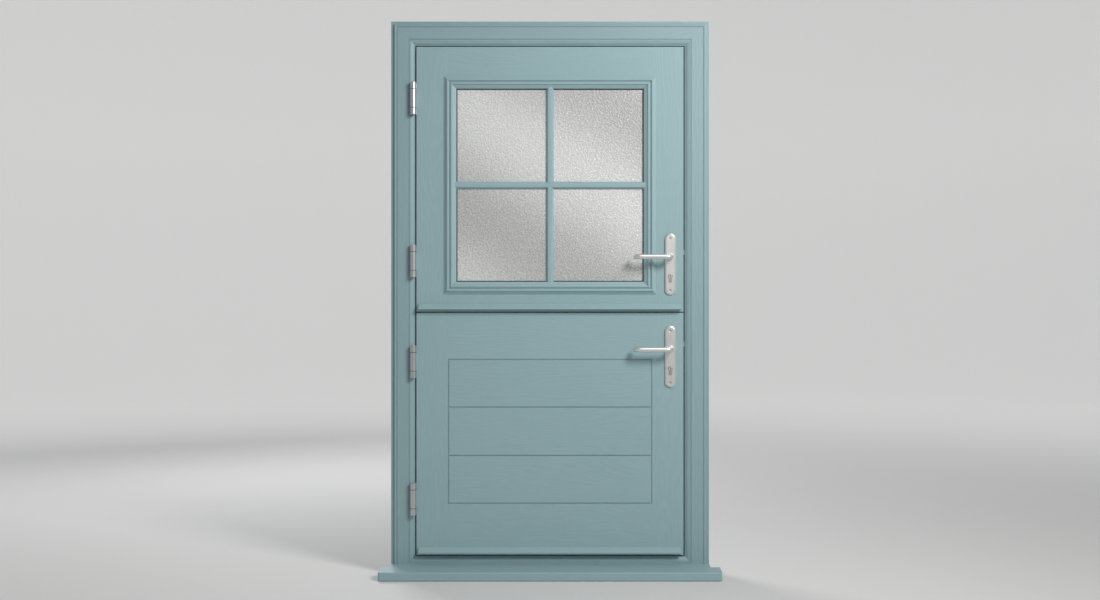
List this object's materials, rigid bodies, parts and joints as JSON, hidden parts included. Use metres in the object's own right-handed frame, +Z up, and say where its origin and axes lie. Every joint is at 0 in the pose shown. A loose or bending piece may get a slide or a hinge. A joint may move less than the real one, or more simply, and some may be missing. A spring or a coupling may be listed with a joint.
{
  "type": "two-leaf stable door with frame",
  "caption": "Painted timber stable door in its frame: glazed upper leaf and boarded lower leaf that swing outwards on their own hinges, each with lever handles and a key lock.",
  "frame": {"origin": "On the cill's underside, midway between its ends, in the plane of the frame's front face.", "axes": "+Z up, -Y towards the outside, +X towards the lock side."},
  "size_m": [1.262, 0.232, 2.076],
  "materials": {
    "painted_timber": "satin paint over fine grain",
    "satin_steel": "satin",
    "zinc_alloy": "plated, dull",
    "rubber_seal": "matt",
    "obscure_glass": "stippled obscure",
    "spacer_aluminium": "matt"
  },
  "bodies": {
    "frame": {"frame_head": "painted_timber", "frame_hinge_jamb": "painted_timber", "frame_lock_jamb": "painted_timber", "frame_bottom_rail": "painted_timber", "cill": "painted_timber", "frame_seal": "rubber_seal", "strike_plates": "satin_steel", "frame_hinge_plates": "satin_steel", "hinge_pins": "satin_steel", "frame_screws": "satin_steel"},
    "upper_leaf": {"upper_hinge_stile": "painted_timber", "upper_lock_stile": "painted_timber", "upper_top_rail": "painted_timber", "upper_meeting_rail": "painted_timber", "upper_weather_bar": "painted_timber", "upper_hinge_plates": "satin_steel", "upper_leaf_screws": "satin_steel", "upper_lock_case": "zinc_alloy", "upper_cylinder": "satin_steel", "upper_outer_plate": "satin_steel", "upper_inner_plate": "satin_steel", "upper_plate_bolts": "satin_steel", "outer_glazing_frame": "painted_timber", "inner_glazing_frame": "painted_timber", "outer_glazing_bars": "painted_timber", "inner_glazing_bars": "painted_timber", "outer_pane": "obscure_glass", "inner_pane": "obscure_glass", "spacer_bar": "spacer_aluminium", "meeting_seal": "rubber_seal"},
    "upper_lever_set": {"upper_spindle": "satin_steel", "upper_follower": "zinc_alloy", "upper_outer_lever": "satin_steel", "upper_inner_lever": "satin_steel"},
    "upper_latch_bolt": {"upper_latch": "satin_steel"},
    "upper_plug": {"upper_key_plug": "satin_steel"},
    "upper_dead_bolt": {"upper_deadbolt": "satin_steel"},
    "lower_leaf": {"lower_hinge_stile": "painted_timber", "lower_lock_stile": "painted_timber", "lower_meeting_rail": "painted_timber", "lower_bottom_rail": "painted_timber", "lower_top_board": "painted_timber", "lower_middle_board": "painted_timber", "lower_bottom_board": "painted_timber", "lower_weather_bar": "painted_timber", "lower_hinge_plates": "satin_steel", "lower_leaf_screws": "satin_steel", "lower_lock_case": "zinc_alloy", "lower_cylinder": "satin_steel", "lower_outer_plate": "satin_steel", "lower_inner_plate": "satin_steel", "lower_plate_bolts": "satin_steel"},
    "lower_lever_set": {"lower_spindle": "satin_steel", "lower_follower": "zinc_alloy", "lower_outer_lever": "satin_steel", "lower_inner_lever": "satin_steel"},
    "lower_latch_bolt": {"lower_latch": "satin_steel"},
    "lower_plug": {"lower_key_plug": "satin_steel"},
    "lower_dead_bolt": {"lower_deadbolt": "satin_steel"}
  },
  "joints": [
    {"name": "upper_leaf_swing", "type": "hinge", "parent": "frame", "child": "upper_leaf", "pos_m": [-0.512, -0.0115, 1.1915], "axis": [0, 0, -1], "range_deg": [0, 140]},
    {"name": "upper_lever_turn", "type": "hinge", "parent": "upper_leaf", "child": "upper_lever_set", "pos_m": [0.451, 0.025, 1.1915], "axis": [0, -1, 0], "range_deg": [0, 40], "stiffness_Nm_per_rad": 1.5, "springref_deg": -57.3},
    {"name": "upper_latch_slide", "type": "slide", "parent": "upper_leaf", "child": "upper_latch_bolt", "axis": [-1, 0, 0], "range_m": [0, 0.012]},
    {"name": "upper_key_turn", "type": "hinge", "parent": "upper_leaf", "child": "upper_plug", "pos_m": [0.451, 0.025, 1.1195], "axis": [0, -1, 0], "range_deg": [0, 360]},
    {"name": "upper_deadbolt_slide", "type": "slide", "parent": "upper_leaf", "child": "upper_dead_bolt", "axis": [1, 0, 0], "range_m": [0, 0.02]},
    {"name": "lower_leaf_swing", "type": "hinge", "parent": "frame", "child": "lower_leaf", "pos_m": [-0.512, -0.0115, 0.8455], "axis": [0, 0, -1], "range_deg": [0, 140]},
    {"name": "lower_lever_turn", "type": "hinge", "parent": "lower_leaf", "child": "lower_lever_set", "pos_m": [0.451, 0.025, 0.8455], "axis": [0, -1, 0], "range_deg": [0, 40], "stiffness_Nm_per_rad": 1.5, "springref_deg": -57.3},
    {"name": "lower_latch_slide", "type": "slide", "parent": "lower_leaf", "child": "lower_latch_bolt", "axis": [-1, 0, 0], "range_m": [0, 0.012]},
    {"name": "lower_key_turn", "type": "hinge", "parent": "lower_leaf", "child": "lower_plug", "pos_m": [0.451, 0.025, 0.7735], "axis": [0, -1, 0], "range_deg": [0, 360]},
    {"name": "lower_deadbolt_slide", "type": "slide", "parent": "lower_leaf", "child": "lower_dead_bolt", "axis": [1, 0, 0], "range_m": [0, 0.02]}
  ],
  "couplings": [
    {"joint": "upper_latch_slide", "follows": "upper_lever_turn", "m_per_rad": 0.017188},
    {"joint": "upper_key_turn", "follows": "upper_deadbolt_slide", "rad_per_m": 314.16},
    {"joint": "lower_latch_slide", "follows": "lower_lever_turn", "m_per_rad": 0.017188},
    {"joint": "lower_key_turn", "follows": "lower_deadbolt_slide", "rad_per_m": 314.16}
  ]
}
